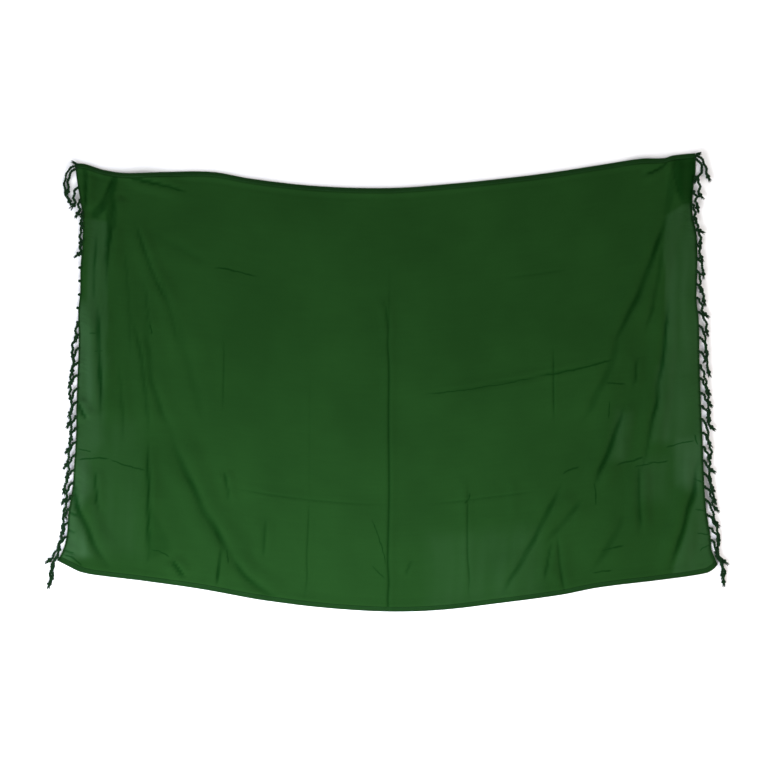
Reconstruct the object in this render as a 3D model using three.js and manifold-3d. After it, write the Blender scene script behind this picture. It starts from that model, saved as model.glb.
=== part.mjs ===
// Fringed sarong: one rectangle of light woven cloth, hemmed along both long edges and
// knotted into short tassels along both short ends. It lies spread out on a flat surface,
// its long edges sagging in the same soft arc, with drag folds running in from the two
// upper corners. +X runs along the cloth, +Y towards the upper long edge, +Z up.
// All sizes are in millimetres.

import * as THREE from 'three';
import { mergeVertices } from 'three/addons/utils/BufferGeometryUtils.js';
import Module from 'manifold-3d';

// ---------------------------------------------------------------- driving dimensions

const WALL = 1.5; // cloth wall
const SEAM_GAP = 0.3; // parting between two sewn pieces

const CLOTH_WIDTH = 1665; // mean spread of the cloth between its fringed ends
const CLOTH_HEIGHT = 1080; // mean depth of the cloth between its hems

const HEM_WIDTH = 12; // hem turned twice and stitched
const HEM_WALL = 2.4;
const TOP_ROLL = { height: 7, crest: 14, reach: 44 }; // upper edge curls down past its hem
const BOTTOM_ROLL = { height: 2.5, crest: 14, reach: 40 };

const SELVAGE_WIDTH = 4; // heading strip that the tassels are knotted through
const SELVAGE_WALL = 2;

const FOLDED_SHARE = 0.36; // share of the width, at each end, that the drag folds take up
const FOLDED_COLUMNS = 30; // facets along each folded end
const MIDDLE_COLUMNS = 14; // facets along the smoother middle
const PANEL_ROWS = 28; // facets across the cloth, between the hem rolls
const HEM_ROWS = 2;

const TASSEL_PITCH = 35;
const CORD_RADIUS = 2.3;
const KNOT_RADIUS = 3.7;
const TUFT_RADIUS = 2.9;
const STRAND_SIDES = 4;
const FLOOR_CLEARANCE = 0.35; // strands stay this far above the surface
const ROOT_DEPTH = 2; // how far a cord starts inside its heading strip
const TUCK_TURN = 3.5; // a cord that is tucked underneath first turns this far outside
const REACH_WOBBLE = { size: 0.7, turn: 2.4 }; // unevenness from one tassel to the next
const HANG_WOBBLE = { size: 3, turn: 1.7 };
const SETTLING = 2; // a cord comes down to the surface within this many steps of its form

const CLOTH = { color: 0x1f431e, roughness: 0.78, metalness: 0 };
const HEM = { color: 0x1b3d1b, roughness: 0.8, metalness: 0 };
const CORD = { color: 0x14301d, roughness: 0.85, metalness: 0 };

// ---------------------------------------------------------------- outline of the cloth

// Each edge: rows of [place along the edge, place across it].
// The long edges are x -> y, from the left end; the short ones y -> x, from the lower end.
const TOP_EDGE = [
  [-811, 569], [-784, 566], [-740, 552], [-680, 543], [-578, 546], [-456, 546],
  [-358, 529], [-228, 513], [-98, 505], [32, 505], [162, 515], [292, 528],
  [422, 544], [552, 564], [656, 580], [719, 582], [742, 589], [800, 595],
];
const BOTTOM_EDGE = [
  [-859, -464], [-826, -481], [-801, -493], [-766, -501], [-637, -517], [-488, -538],
  [-332, -566], [-176, -586], [-1, -597], [136, -593], [292, -575], [448, -554],
  [552, -534], [708, -515], [828, -497], [848, -486], [858, -474],
];
const LEFT_EDGE = [
  [-464, -859], [-445, -846], [-396, -833], [-345, -829], [-294, -821], [-236, -815],
  [-151, -810], [-18, -807], [114, -802], [182, -803], [231, -798],
  [296, -797], [356, -792], [426, -792], [471, -798], [523, -807], [546, -810],
  [569, -811],
];
const RIGHT_EDGE = [
  [-474, 858], [-434, 842], [-403, 840], [-344, 830], [-278, 823], [-177, 820],
  [-86, 816], [47, 811], [161, 809], [213, 803], [296, 805], [377, 804],
  [417, 797], [450, 792], [514, 796], [550, 801], [595, 800],
];

// ---------------------------------------------------------------- folds

// A crease is a valley between two swells, one on each side of its line: `port` is the
// height of the swell on the left of the line as it runs, `starboard` of the other one.
const CREASES = [
  { from: [-706, 562], bend: [-732, 486], to: [-756, 412], port: 8, starboard: 6, width: 18 },
  { from: [-703, 490], bend: [-720, 410], to: [-733, 200], port: 6, starboard: 5, width: 18 },
  { from: [-722, 551], bend: [-644, 528], to: [-534, 499], port: 4, starboard: 2, width: 18 },
  { from: [-610, 400], bend: [-540, 345], to: [-440, 300], port: 2, starboard: 2, width: 20 },
  { from: [-641, 377], bend: [-592, 252], to: [-532, 122], port: 4, starboard: 3, width: 20 },
  { from: [-697, 215], bend: [-655, -20], to: [-628, -180], port: 3, starboard: 3, width: 18 },
  { from: [-622, 200], bend: [-615, 20], to: [-556, -150], port: 5, starboard: 4, width: 20 },
  { from: [-566, 239], bend: [-514, 31], to: [-474, -125], port: 2, starboard: 2, width: 26 },
  { from: [-748, 174], bend: [-745, 44], to: [-750, -78], port: 5, starboard: 6, width: 18 },
  { from: [-578, -94], bend: [-482, -320], to: [-384, -489], port: 9, starboard: 7, width: 24 },
  { from: [-415, -437], bend: [-358, -515], to: [-266, -569], port: 7, starboard: 5, width: 20 },
  { from: [-630, -100], bend: [-627, -307], to: [-625, -520], port: 6, starboard: 5, width: 18 },
  { from: [-618, -320], bend: [-571, -437], to: [-514, -520], port: 4, starboard: 4, width: 18 },
  { from: [-812, -188], bend: [-722, -197], to: [-630, -228], port: 2, starboard: 2, width: 18 },
  { from: [-812, -229], bend: [-786, -385], to: [-727, -484], port: 7, starboard: 6, width: 18 },
  { from: [-430, -416], bend: [-438, -476], to: [-446, -536], port: 4, starboard: 3, width: 18 },
  { from: [-422, -229], bend: [-410, -281], to: [-394, -338], port: 3, starboard: 2, width: 18 },
  { from: [-12, 330], bend: [-6, -125], to: [1, -575], port: 3, starboard: 3, width: 24 },
  { from: [731, 590], bend: [738, 530], to: [752, 462], port: 6, starboard: 5, width: 18 },
  { from: [722, 583], bend: [688, 548], to: [640, 508], port: 5, starboard: 4, width: 18 },
  { from: [700, 572], bend: [640, 540], to: [560, 515], port: 3, starboard: 3, width: 18 },
  { from: [742, 480], bend: [672, 270], to: [585, 90], port: 8, starboard: 6, width: 20 },
  { from: [714, 330], bend: [690, 174], to: [656, 30], port: 3, starboard: 3, width: 18 },
  { from: [732, 230], bend: [706, 5], to: [662, -235], port: 6, starboard: 5, width: 18 },
  { from: [598, 130], bend: [560, 10], to: [500, -110], port: 3, starboard: 2, width: 26 },
  { from: [664, 60], bend: [612, -91], to: [520, -285], port: 7, starboard: 6, width: 20 },
  { from: [545, -240], bend: [468, -358], to: [350, -480], port: 4, starboard: 4, width: 20 },
  { from: [436, -290], bend: [366, -430], to: [280, -570], port: 7, starboard: 6, width: 20 },
  { from: [663, -205], bend: [657, -307], to: [655, -420], port: 7, starboard: 4, width: 18 },
  { from: [612, -330], bend: [586, -410], to: [520, -500], port: 3, starboard: 3, width: 22 },
  { from: [441, -385], bend: [448, -476], to: [463, -556], port: 4, starboard: 3, width: 18 },
  { from: [604, -212], bend: [700, -195], to: [820, -150], port: 2, starboard: 2, width: 18 },
  { from: [815, -205], bend: [772, -350], to: [727, -512], port: 8, starboard: 9, width: 20 },
];

// A ridge is one rounded swell along its line.
const RIDGES = [
  { from: [-722, 551], bend: [-640, 528], to: [-500, 490], height: 4, width: 20 },
  { from: [-806, 470], bend: [-796, 290], to: [-806, 60], height: 10, width: 24 },
  { from: [776, 577], bend: [768, 520], to: [771, 440], height: 7, width: 20 },
  { from: [780, 460], bend: [776, 160], to: [782, -151], height: 6, width: 26 },
];
const FOLD_SAMPLES = 16; // points that each fold's line is measured at
const TAPER = 0.3; // share of a fold's length over which its end fades out
const SWELL_REACH = 3; // a swell dies out at this many widths from its line
const CROSSING_SHARE = 0.4; // share that the lower folds add where several folds meet

// ---------------------------------------------------------------- fringe

// How the tassels lie, at stations down each short end: how far a tassel stands out from
// the edge, and how far it hangs below its root. A negative reach is tucked underneath.
const LEFT_FRINGE = [
  { down: 0, reach: 26, hang: 88 },
  { down: 50, reach: 20, hang: 58 },
  { down: 85, reach: 12, hang: 42 },
  { down: 120, reach: 9, hang: 31 },
  { down: 215, reach: 9, hang: 30 },
  { down: 222, reach: -9, hang: 28 },
  { down: 390, reach: -9, hang: 28 },
  { down: 398, reach: 12, hang: 36 },
  { down: 470, reach: 17, hang: 58 },
  { down: 600, reach: 18, hang: 70 },
  { down: 760, reach: 19, hang: 70 },
  { down: 830, reach: 14, hang: 40 },
  { down: 900, reach: 16, hang: 64 },
  { down: 1010, reach: 14, hang: 72 },
];
const RIGHT_FRINGE = [
  { down: 0, reach: 27, hang: 60 },
  { down: 60, reach: 19, hang: 62 },
  { down: 100, reach: 10, hang: 38 },
  { down: 170, reach: 9, hang: 31 },
  { down: 280, reach: 12, hang: 40 },
  { down: 370, reach: 17, hang: 48 },
  { down: 430, reach: 20, hang: 70 },
  { down: 900, reach: 22, hang: 72 },
  { down: 1060, reach: 20, hang: 60 },
];

// One tassel from root to tip: shares of its reach and hang, and its radius there.
const TASSEL_FORM = [
  { out: 0.08, down: 0.0, radius: CORD_RADIUS },
  { out: 0.42, down: 0.12, radius: CORD_RADIUS },
  { out: 0.7, down: 0.32, radius: CORD_RADIUS },
  { out: 0.94, down: 0.58, radius: CORD_RADIUS },
  { out: 1.0, down: 0.69, radius: KNOT_RADIUS },
  { out: 1.07, down: 0.78, radius: CORD_RADIUS },
  { out: 1.22, down: 1.0, radius: TUFT_RADIUS },
];

// ---------------------------------------------------------------- plan of the cloth

const mix = THREE.MathUtils.lerp;
const clamp = THREE.MathUtils.clamp;

// Smooth value of a table of [place, value] rows at a share of its length.
function edgeValue(rows, share) {
  const last = rows.length - 1;
  const place = mix(rows[0][0], rows[last][0], share);
  let i = 0;
  while (i < last - 1 && place > rows[i + 1][0]) i += 1;
  const slope = (a, b) => (rows[b][1] - rows[a][1]) / (rows[b][0] - rows[a][0]);
  const span = rows[i + 1][0] - rows[i][0];
  const startSlope = slope(Math.max(i - 1, 0), i + 1) * span;
  const endSlope = slope(i, Math.min(i + 2, last)) * span;
  const t = (place - rows[i][0]) / span;
  const rise = rows[i + 1][1] - rows[i][1];
  const cubic = startSlope + endSlope - 2 * rise;
  const square = 3 * rise - 2 * startSlope - endSlope;
  return rows[i][1] + t * (startSlope + t * (square + t * cubic));
}

const topPoint = (u) => new THREE.Vector2(
  mix(TOP_EDGE[0][0], TOP_EDGE.at(-1)[0], u), edgeValue(TOP_EDGE, u));
const bottomPoint = (u) => new THREE.Vector2(
  mix(BOTTOM_EDGE[0][0], BOTTOM_EDGE.at(-1)[0], u), edgeValue(BOTTOM_EDGE, u));
const leftPoint = (v) => new THREE.Vector2(
  edgeValue(LEFT_EDGE, v), mix(LEFT_EDGE[0][0], LEFT_EDGE.at(-1)[0], v));
const rightPoint = (v) => new THREE.Vector2(
  edgeValue(RIGHT_EDGE, v), mix(RIGHT_EDGE[0][0], RIGHT_EDGE.at(-1)[0], v));

// Place on the spread cloth, blended from its four edges: u runs left to right and
// v from the lower edge to the upper one, both 0 to 1.
function planPoint(u, v) {
  const across = bottomPoint(u).lerp(topPoint(u), v);
  const along = leftPoint(v).lerp(rightPoint(v), u);
  const lower = bottomPoint(0).lerp(bottomPoint(1), u);
  const upper = topPoint(0).lerp(topPoint(1), u);
  return across.add(along).sub(lower.lerp(upper, v));
}

// ---------------------------------------------------------------- height of the cloth

// The line of a fold, through its three named points.
function foldLine(fold) {
  const [from, bend, to] = [fold.from, fold.bend, fold.to].map((p) => new THREE.Vector2(...p));
  const control = bend.clone().multiplyScalar(2).sub(from.clone().add(to).multiplyScalar(0.5));
  return new THREE.QuadraticBezierCurve(from, control, to).getPoints(FOLD_SAMPLES);
}

const withLines = (folds) => folds.map((fold) => ({ ...fold, line: foldLine(fold) }));
const creases = withLines(CREASES);
const ridges = withLines(RIDGES);

// Signed distance from a fold's line (positive on its left) and share along it.
function nearest(line, point) {
  let best = { distance: Infinity, side: 1, share: 0 };
  for (let i = 0; i < FOLD_SAMPLES; i += 1) {
    const step = line[i + 1].clone().sub(line[i]);
    const arm = point.clone().sub(line[i]);
    const t = clamp(arm.dot(step) / step.lengthSq(), 0, 1);
    const distance = arm.clone().addScaledVector(step, -t).length();
    if (distance < best.distance) {
      best = { distance, side: Math.sign(step.cross(arm)), share: (i + t) / FOLD_SAMPLES };
    }
  }
  return best;
}

// 1 along a fold, fading to 0 at both ends.
const taper = (share) => THREE.MathUtils.smoothstep(Math.min(share, 1 - share), 0, TAPER);

// Fall of a swell from its top, 1 at 0 and 0 from the given reach on.
const fall = (q, reach) => (q < reach ? Math.cos((q / reach) * Math.PI / 2) ** 2 : 0);

function creaseHeight(crease, point) {
  const { distance, side, share } = nearest(crease.line, point);
  const q = distance / crease.width;
  const height = side > 0 ? crease.port : crease.starboard;
  const profile = q < 1 ? Math.sin(q * Math.PI / 2) : fall(q - 1, SWELL_REACH - 1);
  return height * profile * taper(share);
}

function ridgeHeight(ridge, point) {
  const { distance, share } = nearest(ridge.line, point);
  return ridge.height * fall(distance / ridge.width, SWELL_REACH - 1) * taper(share);
}

// Roll along a hemmed edge: up from the edge to a crest, then back down to the surface.
function rollHeight(roll, distance) {
  const rise = Math.sin(Math.min(distance / roll.crest, 1) * Math.PI / 2);
  const past = Math.max(distance - roll.crest, 0);
  return roll.height * rise * fall(past, roll.reach - roll.crest);
}

// Height of the cloth's underside above the surface that it lies on.
function lift(u, v) {
  const point = planPoint(u, v);
  const swells = creases.map((crease) => creaseHeight(crease, point));
  const rounds = ridges.map((ridge) => ridgeHeight(ridge, point));
  const top = rollHeight(TOP_ROLL, (1 - v) * CLOTH_HEIGHT);
  const bottom = rollHeight(BOTTOM_ROLL, v * CLOTH_HEIGHT);
  const highest = Math.max(...swells, ...rounds, top, bottom);
  const rest = [...swells, ...rounds, top, bottom].reduce((a, b) => a + b) - highest;
  return highest + CROSSING_SHARE * rest;
}

// ---------------------------------------------------------------- walls

// Closed wall over a grid of (u, v) places, standing on the cloth's own height. Each square
// is split along its more level diagonal, so that the facets follow the folds.
function wall(us, vs, thickness) {
  const columns = us.length;
  const layer = columns * vs.length;
  const position = [];
  const places = vs.flatMap((v) => us.map((u) => {
    const plan = planPoint(u, v);
    return [plan.x, plan.y, lift(u, v)];
  }));
  places.forEach(([x, y, z]) => position.push(x, y, z + thickness));
  places.forEach(([x, y, z]) => position.push(x, y, z));

  const index = [];
  const quad = (a, b, c, d) => index.push(a, b, c, a, c, d);
  for (let row = 0; row < vs.length - 1; row += 1) {
    for (let column = 0; column < columns - 1; column += 1) {
      const a = row * columns + column;
      const b = a + 1;
      const c = b + columns;
      const d = a + columns;
      const step = (from, to) => Math.abs(places[from][2] - places[to][2]);
      const [p, q, r, s] = step(a, c) <= step(b, d) ? [a, b, c, d] : [b, c, d, a];
      quad(p, q, r, s);
      quad(layer + p, layer + s, layer + r, layer + q);
    }
  }
  const rim = [];
  for (let i = 0; i < columns - 1; i += 1) rim.push(i);
  for (let i = 0; i < vs.length - 1; i += 1) rim.push((i + 1) * columns - 1);
  for (let i = 0; i < columns - 1; i += 1) rim.push(layer - 1 - i);
  for (let i = 0; i < vs.length - 1; i += 1) rim.push((vs.length - 1 - i) * columns);
  rim.forEach((a, i) => {
    const b = rim[(i + 1) % rim.length];
    quad(layer + a, layer + b, b, a);
  });

  const geometry = new THREE.BufferGeometry();
  geometry.setAttribute('position', new THREE.Float32BufferAttribute(position, 3));
  geometry.setIndex(index);
  return geometry;
}

// Evenly spaced values from start to end, both included.
const steps = (start, end, count) => Array.from(
  { length: count + 1 }, (_, i) => mix(start, end, i / count));

const selvageShare = SELVAGE_WIDTH / CLOTH_WIDTH;
const panelStart = (SELVAGE_WIDTH + SEAM_GAP) / CLOTH_WIDTH;
const panelColumns = [
  ...steps(panelStart, FOLDED_SHARE, FOLDED_COLUMNS).slice(0, -1),
  ...steps(FOLDED_SHARE, 1 - FOLDED_SHARE, MIDDLE_COLUMNS).slice(0, -1),
  ...steps(1 - FOLDED_SHARE, 1 - panelStart, FOLDED_COLUMNS),
];
const hemShare = HEM_WIDTH / CLOTH_HEIGHT;
const panelFoot = (HEM_WIDTH + SEAM_GAP) / CLOTH_HEIGHT;

// Rows of the panel: close together over the two rolled edges, even between them.
function panelRows() {
  const share = (distance) => distance / CLOTH_HEIGHT;
  const lowerRoll = [panelFoot, share(BOTTOM_ROLL.crest + HEM_WIDTH)];
  const { reach, crest } = TOP_ROLL;
  const upperRoll = [reach, (reach + crest) / 2, crest + HEM_WIDTH / 2]
    .map((distance) => 1 - share(distance));
  const field = steps(share(BOTTOM_ROLL.reach), upperRoll[0], PANEL_ROWS).slice(0, -1);
  return [...lowerRoll, ...field, ...upperRoll, 1 - panelFoot];
}

const lowerHemRows = steps(0, hemShare, HEM_ROWS);
const upperHemRows = steps(1 - hemShare, 1, HEM_ROWS);
const selvageRows = [...lowerHemRows, ...panelRows(), ...upperHemRows];

// ---------------------------------------------------------------- tassels

const wasm = await Module();
wasm.setup();

function toSolid(geometry) {
  const bare = geometry.clone();
  bare.deleteAttribute('normal');
  bare.deleteAttribute('uv');
  const merged = mergeVertices(bare);
  return new wasm.Manifold(new wasm.Mesh({
    numProp: 3,
    vertProperties: new Float32Array(merged.attributes.position.array),
    triVerts: new Uint32Array(merged.index.array),
  }));
}

function toGeometry(solid) {
  const { vertProperties, triVerts } = solid.getMesh();
  const geometry = new THREE.BufferGeometry();
  geometry.setAttribute('position', new THREE.Float32BufferAttribute(vertProperties, 3));
  geometry.setIndex(Array.from(triVerts));
  return geometry;
}

// Value of a column of a station table at a distance down the edge.
function station(rows, column, down) {
  let i = 0;
  while (i < rows.length - 2 && down > rows[i + 1].down) i += 1;
  const share = clamp((down - rows[i].down) / (rows[i + 1].down - rows[i].down), 0, 1);
  return mix(rows[i][column], rows[i + 1][column], share);
}

const wobble = ({ size, turn }, i) => size * Math.sin(turn * i);

// Closed strand through a list of places, each with its own radius.
function strand(places) {
  const position = [];
  const index = [];
  places.forEach((place, i) => {
    const before = places[Math.max(i - 1, 0)].centre;
    const after = places[Math.min(i + 1, places.length - 1)].centre;
    const tangent = after.clone().sub(before).normalize();
    const sideways = new THREE.Vector3(0, 0, 1).cross(tangent).normalize();
    const upwards = tangent.clone().cross(sideways);
    for (let side = 0; side < STRAND_SIDES; side += 1) {
      const angle = (side + 0.5) * 2 * Math.PI / STRAND_SIDES;
      const corner = place.centre.clone()
        .addScaledVector(sideways, place.radius * Math.cos(angle))
        .addScaledVector(upwards, place.radius * Math.sin(angle));
      position.push(...corner.toArray());
    }
  });
  for (let ring = 0; ring < places.length - 1; ring += 1) {
    for (let side = 0; side < STRAND_SIDES; side += 1) {
      const a = ring * STRAND_SIDES + side;
      const b = ring * STRAND_SIDES + (side + 1) % STRAND_SIDES;
      index.push(a, b, b + STRAND_SIDES, a, b + STRAND_SIDES, a + STRAND_SIDES);
    }
  }
  const tip = (places.length - 1) * STRAND_SIDES;
  for (let side = 1; side < STRAND_SIDES - 1; side += 1) {
    index.push(0, side + 1, side);
    index.push(tip, tip + side, tip + side + 1);
  }
  const geometry = new THREE.BufferGeometry();
  geometry.setAttribute('position', new THREE.Float32BufferAttribute(position, 3));
  geometry.setIndex(index);
  return geometry;
}

// A knotted tassel: out from the edge, then down beside it, resting on the surface.
// outward is -1 on the left end and 1 on the right one; endX gives the end's x at a y.
function tassel(endX, y, rootHeight, outward, reach, hang) {
  const squareHalf = Math.SQRT1_2;
  const start = {
    centre: new THREE.Vector3(endX(y) - outward * ROOT_DEPTH, y, rootHeight),
    radius: CORD_RADIUS,
  };
  const tucked = reach < 0;
  const places = TASSEL_FORM.map((form, i) => {
    const out = tucked && i === 0 ? TUCK_TURN : form.out * reach;
    const resting = form.radius * squareHalf + FLOOR_CLEARANCE;
    const settled = Math.min((tucked ? i + 1 : i) / SETTLING, 1);
    const height = mix(rootHeight, resting, settled);
    const placeY = y - form.down * hang;
    const centre = new THREE.Vector3(endX(placeY) + outward * out, placeY, height);
    return { centre, radius: form.radius };
  });
  return strand([start, ...places]);
}

// Heading strip of one short end, with its row of tassels.
function fringe(outward, rows, edge) {
  const u = outward < 0 ? [0, selvageShare] : [1 - selvageShare, 1];
  const foot = edge[0][0];
  const length = edge.at(-1)[0] - foot;
  const count = Math.floor(length / TASSEL_PITCH);
  const margin = (length - (count - 1) * TASSEL_PITCH) / 2;
  const endX = (y) => edgeValue(edge, clamp((y - foot) / length, 0, 1));
  let solid = toSolid(wall(u, selvageRows, SELVAGE_WALL));
  for (let i = 0; i < count; i += 1) {
    const down = margin + i * TASSEL_PITCH;
    const v = 1 - down / length;
    const side = outward < 0 ? 0 : 1;
    const reach = station(rows, 'reach', down) + wobble(REACH_WOBBLE, i);
    const hang = station(rows, 'hang', down) + wobble(HANG_WOBBLE, i);
    const rootHeight = lift(side, v) + SELVAGE_WALL / 2 + CORD_RADIUS / 2;
    const cord = tassel(endX, foot + v * length, rootHeight, outward, reach, hang);
    solid = solid.add(toSolid(cord));
  }
  return toGeometry(solid);
}

// ---------------------------------------------------------------- the sarong

function piece(name, geometry, finish) {
  geometry.computeVertexNormals();
  const mesh = new THREE.Mesh(geometry, new THREE.MeshStandardMaterial(finish));
  mesh.name = name;
  return mesh;
}

const sarong = new THREE.Group();
sarong.add(
  piece('cloth_panel', wall(panelColumns, panelRows(), WALL), CLOTH),
  piece('top_hem', wall(panelColumns, upperHemRows, HEM_WALL), HEM),
  piece('bottom_hem', wall(panelColumns, lowerHemRows, HEM_WALL), HEM),
  piece('fringe_left', fringe(-1, LEFT_FRINGE, LEFT_EDGE), CORD),
  piece('fringe_right', fringe(1, RIGHT_FRINGE, RIGHT_EDGE), CORD),
);

export default sarong;
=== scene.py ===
# %% [markdown]
# # A fringed sarong, spread flat
# A sarong is one rectangle of light cloth: two long edges hemmed, two short edges knotted
# into tassels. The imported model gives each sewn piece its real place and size, so this
# lesson dresses that frame: a thin cloth shell with its folds, two stitched hems and two
# rows of twisted tassels.

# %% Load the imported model
import math
import random
from collections import namedtuple

import bmesh
import bpy
import numpy as np
from mathutils import Matrix, Vector, noise


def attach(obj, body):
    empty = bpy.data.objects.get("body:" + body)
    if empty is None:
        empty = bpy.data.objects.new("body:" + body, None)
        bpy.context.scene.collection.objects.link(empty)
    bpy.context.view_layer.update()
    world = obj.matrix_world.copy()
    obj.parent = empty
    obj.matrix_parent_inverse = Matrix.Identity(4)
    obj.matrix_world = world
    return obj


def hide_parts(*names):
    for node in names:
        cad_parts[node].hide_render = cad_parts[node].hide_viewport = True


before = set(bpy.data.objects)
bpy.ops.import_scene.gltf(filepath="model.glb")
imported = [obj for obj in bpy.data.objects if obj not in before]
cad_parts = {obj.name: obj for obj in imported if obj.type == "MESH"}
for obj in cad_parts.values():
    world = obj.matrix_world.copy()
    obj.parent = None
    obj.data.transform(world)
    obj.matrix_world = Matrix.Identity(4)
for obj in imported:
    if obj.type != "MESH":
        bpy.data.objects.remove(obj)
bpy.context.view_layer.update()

MM = 0.001
print("nodes:", sorted(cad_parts))

# %% [markdown]
# ## Camera
# A garment spread on a table is seen from straight above. The camera needs no turning for
# that: a Blender camera looks down its own -Z axis. A long lens a few metres up keeps the
# edges of the cloth from leaning outwards.

# %% Camera straight above the cloth
VIEW_WIDTH = 2002 * MM
VIEW_CENTRE = (-6.5 * MM, -7.8 * MM)
CAMERA_HEIGHT = 6.0
SENSOR_WIDTH = 36

camera_data = bpy.data.cameras.new("camera")
camera_data.sensor_width = SENSOR_WIDTH
camera_data.lens = camera_data.sensor_width * CAMERA_HEIGHT / VIEW_WIDTH
camera = bpy.data.objects.new("camera", camera_data)
camera.location = (*VIEW_CENTRE, CAMERA_HEIGHT)
bpy.context.collection.objects.link(camera)
bpy.context.scene.camera = camera
print("lens:", round(camera_data.lens, 1), "mm")

# %% [markdown]
# ## The outline of the cloth
# The long edges sag in one soft arc and the short edges wave a little, so a rectangle will
# not do. Each edge is a short table of points, read as a smooth curve. The inside of the
# cloth then follows from its four edges: a blend called a Coons patch, which turns a place
# on the flat cloth (u along it, v across it) into a place on the table.

# %% Edge tables, in millimetres
TOP_EDGE = [
    (-811, 569), (-784, 566), (-740, 552), (-680, 543), (-578, 546), (-456, 546),
    (-358, 529), (-228, 513), (-98, 505), (32, 505), (162, 515), (292, 528),
    (422, 544), (552, 564), (656, 580), (719, 582), (742, 589), (800, 595),
]
BOTTOM_EDGE = [
    (-859, -464), (-826, -481), (-801, -493), (-766, -501), (-637, -517), (-488, -538),
    (-332, -566), (-176, -586), (-1, -597), (136, -593), (292, -575), (448, -554),
    (552, -534), (708, -515), (828, -497), (848, -486), (858, -474),
]
LEFT_EDGE = [
    (-464, -859), (-445, -846), (-396, -833), (-345, -829), (-294, -821), (-236, -815),
    (-151, -810), (-18, -807), (114, -802), (182, -803), (231, -798), (296, -797),
    (356, -792), (426, -792), (471, -798), (523, -807), (546, -810), (569, -811),
]
RIGHT_EDGE = [
    (-474, 858), (-434, 842), (-403, 840), (-344, 830), (-278, 823), (-177, 820),
    (-86, 816), (47, 811), (161, 809), (213, 803), (296, 805), (377, 804),
    (417, 797), (450, 792), (514, 796), (550, 801), (595, 800),
]
CLOTH_WIDTH = 1665
CLOTH_HEIGHT = 1080
CUT_WIDTH = 1730
CUT_HEIGHT = 1100


# %% A smooth curve through a table
def edge_value(rows, share):
    """The second column of a table, read smoothly at shares of its first column."""
    place, value = np.array(rows, float).T
    last = len(place) - 1
    at = place[0] + (place[last] - place[0]) * np.asarray(share, float)
    i = np.clip(np.searchsorted(place, at, side="right") - 1, 0, last - 1)
    before, after = np.maximum(i - 1, 0), np.minimum(i + 2, last)
    span = place[i + 1] - place[i]
    start = (value[i + 1] - value[before]) / (place[i + 1] - place[before]) * span
    end = (value[after] - value[i]) / (place[after] - place[i]) * span
    t = (at - place[i]) / span
    rise = value[i + 1] - value[i]
    return value[i] + t * (start + t * (3 * rise - 2 * start - end + t * (start + end - 2 * rise)))


def ends(rows):
    """The first and the last place of an edge table."""
    return rows[0][0], rows[-1][0]


def along(rows, share):
    """The first column of a table at shares of its run."""
    start, end = ends(rows)
    return start + (end - start) * np.asarray(share, float)


# %% From the flat cloth to the table
def plan(u, v):
    """x and y in millimetres of places on the cloth, u and v from 0 to 1."""
    u, v = np.broadcast_arrays(np.asarray(u, float), np.asarray(v, float))
    bottom = np.stack([along(BOTTOM_EDGE, u), edge_value(BOTTOM_EDGE, u)])
    top = np.stack([along(TOP_EDGE, u), edge_value(TOP_EDGE, u)])
    west = np.stack([edge_value(LEFT_EDGE, v), along(LEFT_EDGE, v)])
    east = np.stack([edge_value(RIGHT_EDGE, v), along(RIGHT_EDGE, v)])
    corners = [
        np.array([[edge[end][0]], [edge[end][1]]], float)
        for edge in (BOTTOM_EDGE, TOP_EDGE) for end in (0, -1)
    ]
    flat_u, flat_v = u.ravel(), v.ravel()
    shape = (2, -1)
    bilinear = (
        (1 - flat_u) * (1 - flat_v) * corners[0] + flat_u * (1 - flat_v) * corners[1]
        + (1 - flat_u) * flat_v * corners[2] + flat_u * flat_v * corners[3]
    )
    spread = (
        (1 - flat_v) * bottom.reshape(shape) + flat_v * top.reshape(shape)
        + (1 - flat_u) * west.reshape(shape) + flat_u * east.reshape(shape) - bilinear
    )
    return spread[0].reshape(u.shape), spread[1].reshape(u.shape)


middle = plan(0.5, 0.5)
print("middle of the cloth (mm):", round(float(middle[0]), 1), round(float(middle[1]), 1))
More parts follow.
